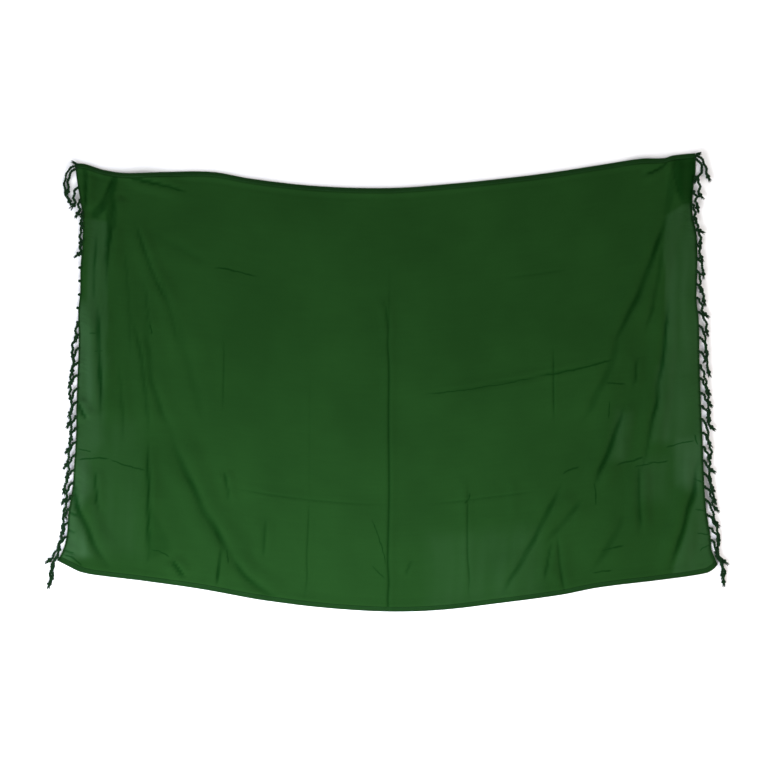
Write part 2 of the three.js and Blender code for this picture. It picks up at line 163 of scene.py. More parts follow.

# %% [markdown]
# ## The folds
# Cloth that has been held up by two corners keeps drag folds that sweep from those corners to the
# far hem, and a cloth fresh from its packet keeps a grid of pressed lines. Both are listed in
# tables, one row to a fold. A crease is a valley between two swells: `port` is the swell on the left
# of the line as it runs, `starboard` the one on its right.

# %% Creases: line through three points, two heights and a width, in millimetres
Fold = namedtuple("Fold", "x0 y0 x1 y1 x2 y2 port starboard width")
CREASES = [
    # left side, from the upper left corner to the lower hem
    Fold(-622, 200, -615, 20, -556, -150, 3.2, 2.6, 20),
    Fold(-585, -80, -482, -322, -372, -505, 6, 4.5, 24),
    Fold(-415, -437, -358, -515, -266, -569, 5, 3.5, 18),
    Fold(-658, 430, -622, 310, -558, 180, 4, 3, 13),
    Fold(-624, -130, -622, -307, -622, -515, 4.5, 4, 12),
    Fold(-757, 240, -749, 60, -747, -125, 6, 7, 15),
    Fold(-836, -110, -803, -325, -712, -500, 9, 7, 19),
    Fold(-762, -215, -758, -280, -752, -345, 3, 3, 10),
    Fold(-565, -458, -545, -485, -522, -515, 4, 3, 12),
    Fold(-430, -416, -438, -476, -446, -536, 4, 3, 12),
    Fold(-425, -229, -418, -268, -407, -325, 3, 2, 10),
    Fold(-318, -346, -321, -406, -326, -463, 2, 2, 12),
    Fold(-610, 400, -540, 345, -440, 300, 1, 0.8, 22),
    Fold(-810, -45, -796, -73, -780, -104, 6, 5, 11),
    Fold(-672, 200, -636, 30, -623, -160, 2.5, 2, 13),
    Fold(-566, 239, -514, 31, -474, -125, 1.5, 1.5, 24),
    Fold(-690, 400, -672, 200, -668, 30, 1.1, 0.9, 11),
    Fold(-634, 270, -624, 190, -615, 95, 1.3, 1.2, 9),
    Fold(-600, 300, -566, 190, -540, 60, 1.5, 1.2, 14),
    Fold(-700, 60, -690, -60, -685, -180, 1.5, 1.5, 12),
    Fold(-836, -330, -818, -343, -798, -350, 2.5, 2.5, 7),
    Fold(-842, -375, -822, -387, -802, -390, 2.5, 2.5, 7),
    Fold(-849, -425, -828, -440, -798, -452, 3, 3, 8),
    # upper left corner
    Fold(-784, 564, -784, 500, -786, 440, 5, 4, 9),
    Fold(-706, 548, -730, 486, -762, 424, 8, 6, 13),
    Fold(-703, 490, -720, 410, -733, 200, 6, 5, 15),
    Fold(-690, 535, -602, 515, -513, 494, 4, 2.5, 11),
    Fold(-757, 400, -760, 300, -762, 180, 2, 2, 7),
    # beside the middle
    Fold(-12, 226, -1, 166, 4, 109, 1.5, 1.5, 9),
    Fold(46, -504, 55, -482, 66, -460, 2, 2, 8),
    Fold(90, -34, 360, 8, 610, 66, 1.2, 1, 9),
    # right side, from the upper right corner to the lower hem
    Fold(742, 474, 664, 262, 570, 60, 8, 6, 20),
    Fold(606, 150, 568, 20, 500, -120, 4, 3, 24),
    Fold(466, -235, 374, -415, 285, -565, 4.5, 4, 19),
    Fold(616, -45, 580, -165, 528, -285, 8, 6, 19),
    Fold(650, 75, 645, 25, 640, -20, 3, 3, 10),
    Fold(510, -290, 462, -358, 400, -430, 3, 3, 20),
    Fold(716, 364, 698, 250, 668, 110, 3, 3, 15),
    Fold(732, 270, 706, 0, 652, -265, 6, 5, 15),
    Fold(652, -205, 653, -300, 657, -405, 7, 4, 13),
    Fold(812, -190, 778, -345, 727, -520, 9, 9, 18),
    Fold(612, -330, 586, -410, 520, -500, 3, 3, 22),
    Fold(441, -385, 448, -476, 463, -556, 2.5, 2, 12),
    Fold(428, -411, 417, -463, 410, -520, 3, 3, 10),
    # upper right corner
    Fold(748, 588, 746, 535, 768, 463, 6, 5, 9),
    Fold(738, 580, 700, 552, 656, 535, 5, 4, 9),
    Fold(610, 567, 664, 574, 719, 577, 3, 2, 9),
]

# %% Ridges: one rounded swell along a line
Ridge = namedtuple("Ridge", "x0 y0 x1 y1 x2 y2 height width")
RIDGES = [
    Ridge(-722, 551, -640, 528, -500, 490, 4, 20),
    Ridge(-806, 470, -796, 290, -806, 60, 10, 24),
    Ridge(776, 577, 768, 520, 771, 440, 7, 20),
    Ridge(780, 460, 776, 160, 782, -151, 6, 26),
    Ridge(324, -242, 326, -300, 324, -372, 2.5, 11),
    Ridge(196, -242, 197, -310, 196, -385, 2.5, 11),
]

# %% [markdown]
# ## Painted light and painted shade
# Some places have light and shade painted into the cloth's colour. A paler green is painted light
# beside the selvages and above the lower hem, and a darker one is painted shade in the tucks at the
# corners and in a slack fold over the lower hem. Each such place is an outline on the table with its
# own strength, and `edge` is how many millimetres it takes to fade in.

# %% Painted light and painted shade: outlines in millimetres
Zone = namedtuple("Zone", "level edge corners")
# Painted light: these places get a paler green.
PAINTED_LIGHT_ZONES = [
    # down the left side
    Zone(0.42, 12, [(-781, 424), (-768, 424), (-729, 416), (-727, 213), (-733, 30),
                   (-830, 30), (-808, 150), (-784, 190), (-781, 291)]),
    Zone(0.5, 36, [(-850, 60), (-730, 60), (-745, -47), (-765, -165), (-850, -165)]),
    Zone(0.4, 30, [(-860, -200), (-780, -205), (-775, -300), (-800, -340), (-860, -250)]),
    Zone(0.6, 16, [(-850, -285), (-812, -285), (-790, -385), (-800, -445), (-880, -460)]),
    Zone(0.85, 44, [(-840, 225), (-776, 205), (-757, 60), (-762, -40), (-782, -100),
                    (-840, -60)]),
    Zone(0.5, 50, [(-840, -60), (-742, -80), (-738, -150), (-770, -205), (-840, -205)]),
    Zone(0.75, 40, [(-850, -170), (-775, -190), (-770, -290), (-800, -330), (-860, -330)]),
    Zone(0.95, 30, [(-860, -270), (-812, -290), (-798, -370), (-770, -450), (-880, -470)]),
    # down the right side
    Zone(0.8, 48, [(742, -140), (850, -130), (850, -240), (806, -285), (752, -262)]),
    Zone(0.3, 34, [(594, -75), (634, -85), (618, -205), (576, -200)]),
    Zone(0.25, 60, [(655, -205), (735, -200), (725, -310), (655, -300)]),
    Zone(0.5, 8, [(768, 460), (797, 463), (814, 135), (818, 20), (704, 20), (719, 135),
                  (724, 213), (719, 317), (724, 429)]),
    Zone(0.4, 34, [(704, 40), (824, 40), (832, -190), (690, -150)]),
    Zone(0.45, 8, [(816, -239), (840, -239), (880, -463), (840, -500), (742, -505),
                  (781, -372), (804, -281)]),
    # wide and weak, above the lower hem
    Zone(0.2, 60, [(110, -400), (390, -380), (400, -560), (110, -600)]),
    Zone(0.15, 60, [(-790, -100), (-650, -100), (-640, -450), (-780, -450)]),
]
# Painted shade: these places get a darker green in the tucks at the corners and in a slack fold.
PAINTED_TUCK_SHADE = [
    # upper left corner
    Zone(0.6, 6, [(-792, 562), (-779, 556), (-779, 458), (-789, 437), (-792, 499)]),
    Zone(0.75, 7, [(-719, 530), (-703, 533), (-701, 499), (-714, 468), (-753, 426),
                   (-768, 426), (-771, 439), (-737, 478)]),
    Zone(0.7, 8, [(-716, 473), (-703, 473), (-703, 406), (-719, 390), (-724, 348),
                  (-734, 348), (-732, 442)]),
    # a slack fold over the lower hem
    Zone(0.3, 12, [(-622, -290), (-606, -340), (-568, -410), (-562, -440), (-624, -460)]),
    # upper right corner
    Zone(0.85, 12, [(736, 596), (815, 606), (815, 462), (766, 462), (748, 500), (738, 546)]),
    Zone(0.45, 8, [(734, 546), (750, 499), (740, 458), (732, 429), (719, 429), (724, 494)]),
]

# %% [markdown]
# ## Pressed lines
# The packet presses a grid of straight lines into the cloth. Each lies at a share of the
# cloth's width, or of its height, and runs between two shares of the other. It is low and
# narrow, and it fades out where the cloth has relaxed.

# %% Pressed lines: `across` ones stand at a share of the width, the others of the height
Pressed = namedtuple("Pressed", "across at start end height width")
PRESSED = [
    Pressed(True, 0.234, 0.42, 0.62, 1.1, 7),
    Pressed(True, 0.373, 0.00, 0.27, 1.3, 7),
    Pressed(True, 0.373, 0.20, 0.60, 0.3, 7),
    Pressed(True, 0.500, -0.25, 0.86, 2.6, 8),
    Pressed(True, 0.625, 0.00, 0.31, 1.6, 7),
    Pressed(True, 0.765, 0.40, 0.60, 1.6, 7),
    Pressed(False, 0.765, 0.68, 0.80, 0.7, 7),
    Pressed(False, 0.252, 0.22, 0.53, 0.7, 7),
    Pressed(False, 0.252, 0.56, 0.75, 0.8, 7),
]

# %% [markdown]
# ## From tables to heights
# Every fold adds a height to the cloth where it passes. numpy works on all the points of
# the cloth at once: for each fold it finds how far each point is from the fold's line, and
# a profile turns that distance into a height. A sine makes the sharp valley and a cosine
# lets each swell die away softly.

# %% Profiles
LINE_STEPS = 16
TAPER = 0.3
SWELL_REACH = 3


def fall(q, reach):
    """1 at 0, easing down to 0 at the given reach."""
    return np.where(q < reach, np.cos(np.clip(q / reach, 0, 1) * math.pi / 2) ** 2, 0)


def valley(q):
    """0 on the line, 1 at one width from it, 0 again further out."""
    near = np.sin(np.clip(q, 0, 1) * math.pi / 2)
    return np.where(q < 1, near, fall(q - 1, SWELL_REACH - 1))


def taper(share):
    """1 along a fold, easing down to 0 at both of its ends."""
    t = np.clip(np.minimum(share, 1 - share) / TAPER, 0, 1)
    return t * t * (3 - 2 * t)


# %% Distance from a fold's line
def line_points(fold):
    """The fold's smooth line, which passes through its three points."""
    start, bend, end = (np.array(fold[i:i + 2], float) for i in (0, 2, 4))
    control = 2 * bend - (start + end) / 2
    t = np.linspace(0, 1, LINE_STEPS + 1)[:, None]
    return (1 - t) ** 2 * start + 2 * t * (1 - t) * control + t ** 2 * end


def nearest(fold, points):
    """For each point: distance from the line, side of it, and share along it."""
    line = line_points(fold)
    distance = np.full(len(points), np.inf)
    side, share = np.zeros(len(points)), np.zeros(len(points))
    for i in range(LINE_STEPS):
        step = line[i + 1] - line[i]
        arm = points - line[i]
        t = np.clip(arm @ step / (step @ step), 0, 1)
        reach = np.linalg.norm(arm - t[:, None] * step, axis=1)
        closer = reach < distance
        distance = np.where(closer, reach, distance)
        side = np.where(closer, step[0] * arm[:, 1] - step[1] * arm[:, 0], side)
        share = np.where(closer, (i + t) / LINE_STEPS, share)
    return distance, side, share


def near_fold(fold, points):
    """Which points a fold can reach at all, so that the rest are skipped."""
    line = line_points(fold)
    reach = SWELL_REACH * fold.width
    return np.all((points > line.min(0) - reach) & (points < line.max(0) + reach), axis=1)


# %% [markdown]
# ## The height of the whole cloth
# The long edges roll over as well: the upper one curls down past its hem, the lower one only a
# little. A slow unevenness from Blender's own noise keeps the field between the folds from looking
# ironed. Noise also moves each fold sideways a little and changes its strength on the way, because
# no real fold is ruled. A soft limit stops crossing folds from stacking too high. Each point also
# gets a `hollow`, how deep in a fold it lies, and the material paints shade into the folds by it.

# %% Rolled long edges
Roll = namedtuple("Roll", "height crest reach")
TOP_ROLL = Roll(7, 10, 27)
BOTTOM_ROLL = Roll(2.5, 14, 34)


def roll_height(roll, distance):
    """A long edge rises from its rim to a crest and dies away into the field."""
    rise = np.sin(np.clip(distance / roll.crest, 0, 1) * math.pi / 2)
    return roll.height * rise * fall(np.maximum(distance - roll.crest, 0), roll.reach - roll.crest)


# %% Slow unevenness
UNEVEN = [(150, 1.1), (60, 0.55), (24, 0.2)]  # size and height of each layer of noise
UNEVEN_STRETCH = 0.35
UNEVEN_STEP = 7.3  # from one layer to the next
UNEVEN_LIFT = 0.6


def unevenness(x, y):
    """Slow swells in a few sizes, longer along the hang of the cloth than across it."""
    total = np.zeros(len(x))
    for layer, (size, height) in enumerate(UNEVEN):
        places = zip(x / size, y * UNEVEN_STRETCH / size)
        values = [noise.noise(Vector((a, b, UNEVEN_STEP * layer))) for a, b in places]
        total += height * (np.array(values) + UNEVEN_LIFT)
    return np.maximum(total, 0)


# %% Unsteady folds
WANDER = 6
WANDER_LENGTH = 60
WANDER_LAYERS = (0.4, 11.3, 23.7)
STRENGTH_CHANGE = 0.3


def unsteady(points):
    """How far each fold line strays sideways, and how strong it is, place by place."""
    stray = np.array([
        [noise.noise(Vector((x, y, layer))) for layer in WANDER_LAYERS]
        for x, y in points / WANDER_LENGTH
    ])
    strength = 1 + STRENGTH_CHANGE * np.clip(2 * stray[:, 2], -1, 1)
    return stray[:, :2] * WANDER, strength


# %% Height and hollow of one crease, one ridge and one pressed line
STEADY_WIDTH = 10  # a fold as narrow as this wanders least
WANDER_RAMP = 8
LEAST_WANDER = 0.2
FOLD_DEPTH = 1.4
# A fold's hollow sets how much shade the material paints into it; STEEP, HOLLOW_SHARE and HOLLOW_END
# give its strength and width.
STEEP = 0.62  # height over width of a fold that is fully dark inside
HOLLOW_SHARE = 0.38
HOLLOW_END = 0.5  # how narrow a hollow gets at the ends of its fold
THIN_HOLLOW = 3.5


def crease_form(fold, points, wander, strength):
    """The points that a crease reaches, and the height and hollow that it gives them."""
    freedom = np.clip((fold.width - STEADY_WIDTH) / WANDER_RAMP, LEAST_WANDER, 1)
    points_seen = points + wander * freedom
    near = near_fold(fold, points_seen)
    distance, side, share = nearest(fold, points_seen[near])
    end_share = taper(share)
    swell = np.where(side > 0, fold.port, fold.starboard) * FOLD_DEPTH * strength[near]
    depth = min((fold.port + fold.starboard) / (STEEP * fold.width), 1)
    spread = max(HOLLOW_SHARE * fold.width, THIN_HOLLOW)
    spread = spread * (HOLLOW_END + (1 - HOLLOW_END) * end_share)
    line = depth * np.exp(-(distance / spread) ** 4) * end_share * strength[near]
    return near, swell * valley(distance / fold.width) * end_share, line


def ridge_form(ridge, points):
    """The points that a ridge reaches, and the height that it gives them."""
    near = near_fold(ridge, points)
    distance, _, share = nearest(ridge, points[near])
    return near, ridge.height * fall(distance / ridge.width, SWELL_REACH - 1) * taper(share)


def pressed_form(row, u, v):
    """The height and the hollow that one pressed line gives."""
    position, run, size = (u, v, CLOTH_WIDTH) if row.across else (v, u, CLOTH_HEIGHT)
    share = (run - row.start) / (row.end - row.start)
    distance = np.abs(position - row.at) * size
    along_it = np.where((share > 0) & (share < 1), taper(share), 0)
    depth = min(2 * row.height / (STEEP * row.width), 1)
    line = depth * np.exp(-(distance / (HOLLOW_SHARE * row.width)) ** 2) * along_it
    return row.height * valley(distance / row.width) * along_it, line


# %% The sum
HEIGHT_LIMIT = 17


def cloth_form(u, v):
    """Height of the cloth's underside in millimetres, and how deep in a fold it is, which sets the
    shade painted there.
    """
    u, v = np.broadcast_arrays(np.asarray(u, float), np.asarray(v, float))
    shape, u, v = u.shape, u.ravel(), v.ravel()
    points = np.stack(plan(u, v), axis=1)
    wander, strength = unsteady(points)
    hollow = np.zeros(len(u))
    total = roll_height(TOP_ROLL, (1 - v) * CLOTH_HEIGHT)
    total = total + roll_height(BOTTOM_ROLL, v * CLOTH_HEIGHT)
    for fold in CREASES:
        near, rise, line = crease_form(fold, points, wander, strength)
        total[near] += rise
        hollow[near] = np.maximum(hollow[near], line)
    for ridge in RIDGES:
        near, rise = ridge_form(ridge, points)
        total[near] += rise
    for row in PRESSED:
        rise, line = pressed_form(row, u, v)
        total += rise
        hollow = np.maximum(hollow, line)
    total += unevenness(points[:, 0], points[:, 1])
    return (HEIGHT_LIMIT * np.tanh(total / HEIGHT_LIMIT)).reshape(shape), hollow.reshape(shape)


def height(u, v):
    """Height of the cloth's underside alone."""
    return cloth_form(u, v)[0]


print("height at the middle of the cloth (mm):", round(float(height(0.5, 0.5)), 1))

# %% [markdown]
# ## Masks from the outlined places
# A mask is one value from 0 to 1 for every point of the cloth. The distance in from an
# outline tells how far its place has faded in, and noise stretched along the hang of the
# cloth streaks it.

# %% Masks
STREAK_SIZE = (17, 150)
STREAK_CHANGE = 0.55


def inset(points, corners):
    """Distance in from a closed outline, negative outside it.

    A point is within when an odd number of the outline's edges pass on one side of it.
    """
    corners = np.array(corners, float)
    distance, within = np.full(len(points), np.inf), np.zeros(len(points), bool)
    for start, end in zip(corners, np.roll(corners, -1, axis=0)):
        step, arm = end - start, points - start
        t = np.clip(arm @ step / (step @ step), 0, 1)
        distance = np.minimum(distance, np.linalg.norm(arm - t[:, None] * step, axis=1))
        level = (points[:, 1] - start[1]) / (step[1] or 1)  # a level edge is never crossed
        between = (start[1] > points[:, 1]) != (end[1] > points[:, 1])
        within ^= between & (arm[:, 0] < level * step[0])
    return np.where(within, distance, -distance)


def zone_mask(zones, points):
    """The strongest zone at each point, streaked along the hang of the cloth."""
    total = np.zeros(len(points))
    for zone in zones:
        # the outline runs along the middle of the fade, hence the half
        t = np.clip(0.5 + inset(points, zone.corners) / zone.edge, 0, 1)
        total = np.maximum(total, zone.level * t * t * (3 - 2 * t))
    streaks = [noise.noise(Vector((x, y, 0))) for x, y in points[total > 0] / STREAK_SIZE]
    total[total > 0] *= 1 + STREAK_CHANGE * np.array(streaks)
    return np.clip(total, 0, 1)


# %% [markdown]
# ## Shared finishes
# Effects that several materials share, or that one uses many times, are node groups with
# named sockets: the plain weave, the patchiness of the dye, the puckers beside the tassels
# and one thin crease. They give out only values, and the materials decide what to do with
# them. The cloth's own UV map is laid out in metres, so its threads follow the folds.

# %% Helpers for node trees
def add_node(tree, kind, inputs=None, **settings):
    """A new node. Each input is given a plain value or the socket that feeds it."""
    node = tree.nodes.new(kind)
    for name, value in settings.items():
        setattr(node, name, value)
    for name, value in (inputs or {}).items():
        if isinstance(value, bpy.types.NodeSocket):
            tree.links.new(value, node.inputs[name])
        else:
            node.inputs[name].default_value = value
    return node


def math_node(tree, operation, *values):
    """A Math node on one or two values; gives its output socket."""
    return add_node(tree, "ShaderNodeMath", dict(enumerate(values)), operation=operation).outputs[0]


def vector_math(tree, operation, inputs):
    """A Vector Math node; gives its output socket."""
    return add_node(tree, "ShaderNodeVectorMath", inputs, operation=operation).outputs[0]


def noise_texture(tree, place, scale, detail=2):
    """The outputs of a Noise Texture node."""
    inputs = {"Vector": place, "Scale": scale, "Detail": detail}
    return add_node(tree, "ShaderNodeTexNoise", inputs).outputs


def split_axes(tree, place):
    """The x, y and z of a place, each as a socket."""
    return add_node(tree, "ShaderNodeSeparateXYZ", {0: place}).outputs


def new_group(name, inputs, outputs):
    """A node group and the sockets that bring in what it is given.

    An input with a number as its default takes a value, and one with None takes a place.
    """
    group = bpy.data.node_groups.new(name, "ShaderNodeTree")
    for label, default in inputs.items():
        kind = "NodeSocketVector" if default is None else "NodeSocketFloat"
        socket = group.interface.new_socket(label, in_out="INPUT", socket_type=kind)
        if default is not None:
            socket.default_value = default
    for label in outputs:
        group.interface.new_socket(label, in_out="OUTPUT", socket_type="NodeSocketFloat")
    return group, group.nodes.new("NodeGroupInput").outputs


def give_out(group, values):
    """Send values out of a group, by the names of its outputs."""
    add_node(group, "NodeGroupOutput", values)


def use_group(tree, group, inputs):
    """The outputs of a node group, put to use with inputs of its own."""
    return add_node(tree, "ShaderNodeGroup", inputs, node_tree=group).outputs


# %% Plain weave: one thread over, one under
THREAD_PITCH = 0.6 * MM

weave, given = new_group("plain weave", {"Vector": None, "Thread Pitch": THREAD_PITCH}, ["Height"])
axes = split_axes(weave, given["Vector"])
turns = math_node(weave, "DIVIDE", math.pi, given["Thread Pitch"])
warp_wave = math_node(weave, "SINE", math_node(weave, "MULTIPLY", axes["X"], turns))
weft_wave = math_node(weave, "SINE", math_node(weave, "MULTIPLY", axes["Y"], turns))
give_out(weave, {"Height": math_node(weave, "MULTIPLY", warp_wave, weft_wave)})

# %% Patchiness: slow changes of dye and nap, fine slubs along the threads, and crumple
SLUB_STRETCH = (0.12, 1.6, 1)
CRUMPLE_SCALE = 34

patchy, given = new_group(
    "patchy dye", {"Vector": None, "Patch Scale": 5.0, "Slub Scale": 90.0},
    ["Patches", "Slubs", "Crumple"])
along_threads = vector_math(patchy, "MULTIPLY", {0: given["Vector"], 1: SLUB_STRETCH})
give_out(patchy, {
    "Patches": noise_texture(patchy, given["Vector"], given["Patch Scale"], 3)["Fac"],
    "Slubs": noise_texture(patchy, along_threads, given["Slub Scale"])["Fac"],
    "Crumple": noise_texture(patchy, given["Vector"], CRUMPLE_SCALE, 4)["Fac"],
})

# %% Puckers: short pleats where the tassels' knots pull at the side edges
PLEAT_STRETCH = (24, 70, 1)
GATHER_SCALE = 7
GATHER_FROM, GATHER_TO = 0.44, 0.62

puckers, given = new_group(
    "edge puckers", {"Vector": None, "Cloth Width": 1.73, "Reach": 0.06}, ["Height"])
pleat_place = vector_math(puckers, "MULTIPLY", {0: given["Vector"], 1: PLEAT_STRETCH})
pleats = noise_texture(puckers, pleat_place, 1, 3)
from_left = split_axes(puckers, given["Vector"])["X"]
from_right = math_node(puckers, "SUBTRACT", given["Cloth Width"], from_left)
from_side = math_node(puckers, "MINIMUM", from_left, from_right)
away = math_node(puckers, "DIVIDE", from_side, given["Reach"])
closeness = math_node(puckers, "MAXIMUM", math_node(puckers, "SUBTRACT", 1, away), 0)
gathered = add_node(puckers, "ShaderNodeMapRange", {
    "Value": noise_texture(puckers, given["Vector"], GATHER_SCALE)["Fac"],
    "From Min": GATHER_FROM, "From Max": GATHER_TO})
pull_here = math_node(puckers, "MULTIPLY", closeness, gathered.outputs["Result"])
give_out(puckers, {"Height": math_node(puckers, "MULTIPLY", pull_here, pleats["Fac"])})

# %% A thin crease: a fine line between two places, bowed sideways
END_SHARPNESS = 8

thin, given = new_group(
    "thin crease",
    {"Vector": None, "Start": None, "Turn": None, "Length and Width": None, "Bow": 0.0}, ["Line"])
on_line = add_node(thin, "ShaderNodeMapping", {
    "Vector": given["Vector"], "Location": given["Start"], "Rotation": given["Turn"],
    "Scale": given["Length and Width"]}, vector_type="TEXTURE")
axes = split_axes(thin, on_line.outputs[0])
to_go = math_node(thin, "SUBTRACT", 1, axes["X"])
arch = math_node(thin, "MAXIMUM", math_node(thin, "MULTIPLY", axes["X"], to_go), 0)
bow = math_node(thin, "MULTIPLY", arch, given["Bow"])
off_line = math_node(thin, "SUBTRACT", axes["Y"], bow)
bell = math_node(thin, "SUBTRACT", 1, math_node(thin, "MULTIPLY", off_line, off_line))
bell = math_node(thin, "MAXIMUM", bell, 0)
ends_fade = math_node(thin, "MINIMUM", math_node(thin, "MULTIPLY", arch, END_SHARPNESS), 1)
give_out(thin, {"Line": math_node(thin, "MULTIPLY", bell, ends_fade)})
print("groups:", [group.name for group in bpy.data.node_groups])

# %% [markdown]
# ## Thin crumples
# The finest crumples are narrower than the squares of the cloth's mesh, so the material paints their
# shade as dark lines instead of shaping them. Each is a row of a table, and a little noise makes its
# line shaky.

# %% Thin crumples: two ends, sag and width, in millimetres
Thin = namedtuple("Thin", "x0 y0 x1 y1 sag width")
THIN_CREASES = [
    Thin(-807, -200, -722, -200, 2, 2.6),
    Thin(-722, -200, -623, -229, -5, 2.4),
    Thin(-805, -174, -768, -182, 1, 2.2),
    Thin(-618, -434, -566, -455, 3, 2.4),
    Thin(-842, -448, -792, -478, 3, 3),
    Thin(-848, -430, -812, -446, -3, 2.6),
    Thin(-617, 151, -612, 125, 0, 2.4),
    Thin(-452, 298, -338, 274, 2, 2.8),
    Thin(-42, -357, -5, -474, 4, 2),
    Thin(-42, -476, -8, -512, 0, 1.8),
    Thin(215, -288, 199, -316, 3, 2.6),
    Thin(-420, -432, -412, -473, 1, 2.4),
    Thin(-775, 127, -742, 128, 1, 2.2),
    Thin(-762, 80, -738, 82, -1, 2.2),
    Thin(-685, 533, -520, 491, 2, 3),
    Thin(592, -216, 669, -195, 0, 3.2),
    Thin(675, -208, 732, -205, -3, 2.4),
    Thin(640, -222, 690, -212, 2, 2),
    Thin(724, -172, 800, -151, 2, 2.6),
    Thin(798, -136, 806, -165, 0, 2.8),
    Thin(90, -34, 400, 16, -5, 1.8),
    Thin(385, 13, 598, 62, -4, 3.4),
    Thin(454, -240, 500, -221, 3, 3),
    Thin(566, -3, 620, -5, -1, 2.6),
    Thin(553, -442, 615, -424, 1, 2.4),
    Thin(532, -497, 584, -489, 1, 2.2),
    Thin(576, -47, 573, -94, 1, 2.2),
    Thin(537, -260, 540, -322, 2, 2.2),
    Thin(792, -252, 818, -260, 1, 2.2),
    Thin(798, -330, 832, -338, 1, 2.4),
    Thin(802, -393, 838, -396, -1, 2.4),
    Thin(812, -440, 842, -420, 2, 2.2),
]

# %% Their mask
SHAKE_SCALE = 45
SHAKE_SIZE = 9
ARCH_TOP = 0.25  # the bow of a line follows t * (1 - t), which is highest at a quarter


def thin_crease_mask(tree, rows):
    """The strongest of the thin crumples at each place, as one value, for the shade painted along
    them.
    """
    place = add_node(tree, "ShaderNodeTexCoord").outputs["Object"]
    level = vector_math(tree, "MULTIPLY", {0: place, 1: (1, 1, 0)})
    shake = noise_texture(tree, level, SHAKE_SCALE)["Color"]
    small = vector_math(tree, "SCALE", {0: shake, "Scale": SHAKE_SIZE * MM})
    moved = vector_math(tree, "ADD", {0: level, 1: small})
    strongest = 0
    for row in rows:
        run = Vector((row.x1 - row.x0, row.y1 - row.y0, 0))
        # noise has a mean of a half, so on average the shake moves a place by half its size
        start = [(at + SHAKE_SIZE / 2) * MM for at in (row.x0, row.y0)]
        line = use_group(tree, thin, {
            "Vector": moved, "Start": (*start, 0), "Turn": (0, 0, math.atan2(run.y, run.x)),
            "Length and Width": (run.length * MM, row.width * MM, 1),
            "Bow": row.sag / row.width / ARCH_TOP})
        strongest = math_node(tree, "MAXIMUM", line["Line"], strongest)
    return strongest


# %% [markdown]
# ## The green cloth
# Light viscose has a dull face with a soft sheen where it turns away. Its dye is a deep
# bottle green that is never quite even, so two greens are mixed by the patches and slubs.
# The panel's points carry two masks: `pale` mixes in a paler green as painted light, and `hollow`
# deepens the green as painted shade in the folds and corner tucks. Three Bump nodes in a row add the
# crumple, the puckers and then the threads.
# The hems and heading strips wear the same cloth a little darker: the hems lie three layers thick,
# and on the strips the darker green is painted shade where the side edges curl away.

# %% Helpers for materials
# A Mix node has sockets for every kind of value, and these are the ones for colours
MIX_FACTOR, MIX_FIRST, MIX_SECOND, MIX_RESULT = 0, 6, 7, 2


def new_material(name, finish):
    """A material, its node tree and its shader, with the shader's inputs set."""
    material = bpy.data.materials.new(name)
    material.use_nodes = True
    shader = material.node_tree.nodes["Principled BSDF"]
    for label, value in finish.items():
        shader.inputs[label].default_value = value
    return material, material.node_tree, shader


def mixed(tree, factor, first, second, blend_type="MIX"):
    """The second colour mixed into the first by a factor."""
    inputs = {MIX_FACTOR: factor, MIX_FIRST: first, MIX_SECOND: second}
    node = add_node(tree, "ShaderNodeMix", inputs, data_type="RGBA", blend_type=blend_type)
    return node.outputs[MIX_RESULT]


def two_tone(tree, share, colours, stops=(0, 1)):
    """A ramp from a dark colour to a light one."""
    node = add_node(tree, "ShaderNodeValToRGB", {"Fac": share})
    for element, colour, stop in zip(node.color_ramp.elements, colours, stops):
        element.position = stop
        element.color = (*colour, 1)
    return node.outputs["Color"]


def bump(tree, relief, strength, distance, below=None):
    """A Bump node, on top of the one below it if there is one."""
    inputs = {"Height": relief, "Strength": strength, "Distance": distance}
    if below is not None:
        inputs["Normal"] = below
    return add_node(tree, "ShaderNodeBump", inputs).outputs["Normal"]


def mask_on_points(tree, name):
    """A value that a piece carries on its points, and 0 where it carries none."""
    return add_node(tree, "ShaderNodeAttribute", attribute_name=name).outputs["Fac"]


# %% Cloth material
# Colours of the painted shade and the painted light
PAINTED_SHADE_TINT = (0.26, 0.60, 0.34, 1)
PAINTED_LIGHT_GREEN = (0.020, 0.060, 0.020, 1)
PATCH_WEIGHT = 0.75
SLUB_WEIGHT = 0.2
TONE_STOPS = (0.35, 0.75)
CLOTH_FINISH = {
    "Roughness": 0.75, "Specular IOR Level": 0.03, "Sheen Weight": 0.02,
    "Sheen Roughness": 0.45, "Sheen Tint": (0.35, 0.75, 0.35, 1),
}


